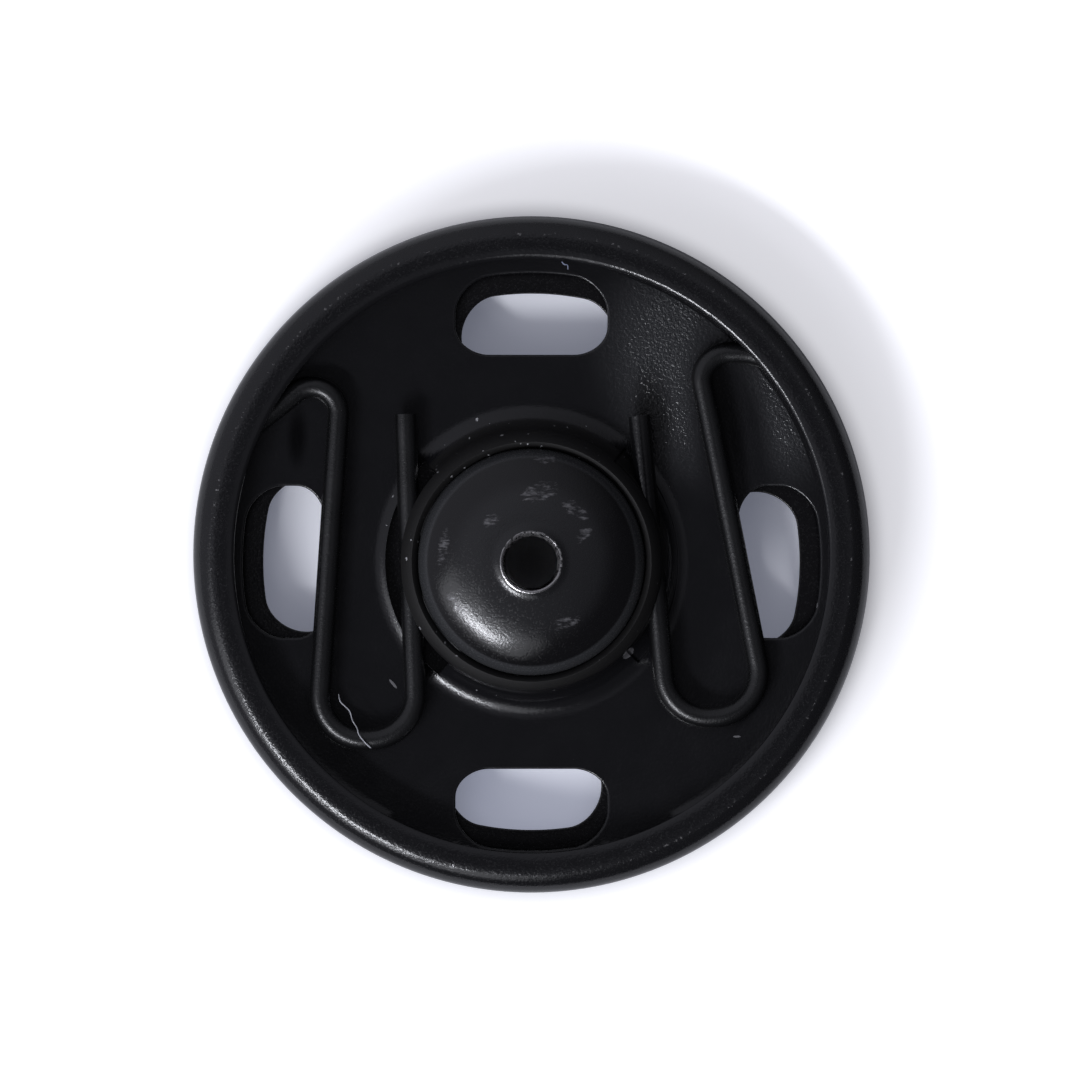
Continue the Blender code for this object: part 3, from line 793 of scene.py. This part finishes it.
wire_paint = black_paint("black_painted_spring_wire", tone="#0b0b0c", rough=0.25, patches=wire_wear_and_shade)
wire_sides = 24
spring_mesh = along("bent_wire_spring", [(p.x, p.y, 0) for p in spring_route()], wire, wire_sides, wire_paint)
spring_mesh.transform(Matrix.Translation((0, -off_centre, spring_height))
                      @ Matrix.Rotation(spring_turn, 4, "Z"))
outward(spring_mesh, sharp=50)
spring = linked("bent_wire_spring", spring_mesh)
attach(spring, "socket_half")
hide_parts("spring")


# Lint: a loose cotton fibre caught over the left bend of the spring, and a short bluish one caught on the
# lip above the top slot. They only lie there.
fibre_width = 0.05 * mm
fibre_sides = 6


def fibre(name, shade, points):
    """A thin fibre along points (x, y, z) in mm, as a smooth curve through them. Cotton gives no shine,
    and its twist shows as a change of tone 0.25 mm long."""
    cotton = bpy.data.materials.new(name)
    cotton.use_nodes = True
    tree = cotton.node_tree
    shader = tree.nodes["Principled BSDF"]
    place = add(tree, "ShaderNodeTexCoord").outputs["Object"]
    twist = add(tree, "ShaderNodeTexNoise", {"Vector": place, "Scale": 4000, "Detail": 2})
    tone = add(tree, "ShaderNodeMix", {0: twist.outputs["Fac"], 6: linear(shade), 7: linear("#8d8c90")},
               data_type="RGBA")
    tree.links.new(tone.outputs[2], shader.inputs["Base Color"])
    shader.inputs["Roughness"].default_value = 0.9
    line = [Vector(p) * mm for p in points]
    steps = 6
    smooth = []
    for i in range(len(line) - 1):
        before, a, b, after = line[max(i - 1, 0)], line[i], line[i + 1], line[min(i + 2, len(line) - 1)]
        for k in range(steps):
            t = k / steps
            smooth.append(0.5 * (2 * a + (b - before) * t + (2 * before - 5 * a + 4 * b - after) * t ** 2
                                 + (3 * a - before - 3 * b + after) * t ** 3))
    mesh = along(name, smooth + [line[-1]], fibre_width, fibre_sides, cotton)
    outward(mesh, sharp=60)
    obj = linked(name, mesh)
    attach(obj, "socket_half")


fibre("white_cotton_fibre", "#d4d6de",
      ((-8.55, -6.21, 3.10), (-8.45, -6.55, 3.45), (-8.07, -6.92, 3.62), (-7.93, -7.35, 3.58),
       (-7.72, -7.70, 3.68), (-7.66, -7.95, 3.72), (-7.45, -8.25, 3.73), (-7.12, -8.58, 3.68)))
fibre("bluish_lint", "#8f9cc0",
      ((1.35, 12.95, 4.41), (1.45, 12.84, 4.42), (1.60, 12.80, 4.41), (1.62, 12.62, 4.33)))


# The table: a plain white sheet, larger than any view shows. Where the camera looks at it, it glows a
# little: white round the part, and a dimmer bluish white in its slots, brightest in the front one. The
# glow lights nothing else.
table_size = 3.0
bpy.ops.mesh.primitive_plane_add(size=table_size, location=(0, 0, 0))
table = bpy.context.object
table.name = "table"
table_white = bpy.data.materials.new("white_table")
table_white.use_nodes = True
tree = table_white.node_tree
tree.nodes.clear()
path = add(tree, "ShaderNodeLightPath")
place = add(tree, "ShaderNodeTexCoord").outputs["Object"]
out = flat_distance(tree, place, 0, 0)
front = flat_distance(tree, place, 0, -10.5)
round_ball = add(tree, "ShaderNodeMapRange", {0: out, 1: 7.0, 2: 8.6, 3: 0.0, 4: 0.155}, **eased)
front_slot = add(tree, "ShaderNodeMapRange", {0: front, 1: 2.0, 2: 5.0, 3: 0.155, 4: 0.0}, **eased)
open_table = add(tree, "ShaderNodeMapRange", {0: out, 1: 14.6, 2: 16.0, 3: 0.0, 4: 0.44}, **eased)
lift = add(tree, "ShaderNodeMath", {0: round_ball, 1: front_slot}, operation="ADD")
lift = add(tree, "ShaderNodeMath", {0: lift, 1: open_table}, operation="ADD")
lift = add(tree, "ShaderNodeMath", {0: lift, 1: path.outputs["Is Camera Ray"]}, operation="MULTIPLY")
outside = add(tree, "ShaderNodeMapRange", {0: out, 1: 13.6, 2: 15.0, 3: 0.0, 4: 1.0}, **eased)
shade = add(tree, "ShaderNodeMix", {0: outside, 6: linear("#dde4ff"), 7: linear("#f5f5fa")}, data_type="RGBA")
cloth = add(tree, "ShaderNodeBsdfDiffuse", {"Color": linear("#f6f6f8")})
glow = add(tree, "ShaderNodeEmission", {"Color": shade.outputs[2], "Strength": lift})
both = add(tree, "ShaderNodeAddShader", {0: cloth, 1: glow})
add(tree, "ShaderNodeOutputMaterial", {"Surface": both})
table.data.materials.append(table_white)


# Light: a wide soft lamp with a small bright one before it at the front left, and a dim room, lighter at
# the left and dark straight above, where the camera is.
aim = Vector((0, 0, 3 * mm))


def lamp(name, azimuth, elevation, distance, width, height, share):
    """A soft lamp whose light on the table is a share of the light that shows a colour as written."""
    data = bpy.data.lights.new(name, "AREA")
    data.shape = "RECTANGLE"
    data.size = width
    data.size_y = height
    data.energy = share * math.pi ** 2 * distance ** 2 / math.sin(math.radians(elevation))
    data.color = linear("#f6f8ff")[:3]
    obj = linked(name, data)
    a = math.radians(azimuth)
    e = math.radians(elevation)
    away = Vector((math.cos(a) * math.cos(e), math.sin(a) * math.cos(e), math.sin(e)))
    obj.location = aim + away * distance
    obj.rotation_euler = away.to_track_quat("Z", "Y").to_euler()


lamp("soft_lamp", azimuth=231, elevation=45, distance=0.30, width=0.34, height=0.16, share=0.19)
lamp("small_lamp", azimuth=231, elevation=45, distance=0.31, width=0.14, height=0.026, share=0.36)
room = bpy.data.worlds.new("room")
bpy.context.scene.world = room
room.use_nodes = True
tree = room.node_tree
tree.nodes.clear()
direction = add(tree, "ShaderNodeTexCoord").outputs["Generated"]
window_way = math.radians(150)
window_up = math.radians(27)
window = (math.cos(window_way) * math.cos(window_up), math.sin(window_way) * math.cos(window_up),
          math.sin(window_up))
lighter = add(tree, "ShaderNodeVectorMath", {0: direction, 1: window}, operation="DOT_PRODUCT")
bright = add(tree, "ShaderNodeMapRange", {0: lighter.outputs["Value"], 1: math.cos(math.radians(112)),
                                          2: math.cos(math.radians(12)), 3: 0.05, 4: 0.42}, **eased)
up = add(tree, "ShaderNodeSeparateXYZ", {0: direction}).outputs["Z"]
camera_shade = add(tree, "ShaderNodeMapRange", {0: up, 1: math.cos(math.radians(18)),
                                                2: math.cos(math.radians(4)), 3: 1.0, 4: 0.15}, **eased)
dim = add(tree, "ShaderNodeMath", {0: bright, 1: camera_shade}, operation="MULTIPLY")
path = add(tree, "ShaderNodeLightPath")
level = add(tree, "ShaderNodeMix", {0: path.outputs["Is Camera Ray"], 2: dim, 3: 1.0})
back = add(tree, "ShaderNodeBackground", {"Color": linear("#f1f2ff"), "Strength": level})
add(tree, "ShaderNodeOutputWorld", {"Surface": back})
bpy.context.scene.view_settings.view_transform = "Standard"


# Camera: straight above, half a metre off, framed as the photograph is.
frame_width = 47.9 * mm
frame_middle = (0.38 * mm, 0.64 * mm)
camera_height = 0.5
rim_height = 3.2 * mm
camera_data = bpy.data.cameras.new("camera")
camera_data.sensor_width = 36
camera_data.lens = camera_data.sensor_width * camera_height / frame_width
camera_data.clip_start = 0.01
camera = linked("camera", camera_data)
camera.location = (*frame_middle, camera_height + rim_height)
bpy.context.scene.camera = camera
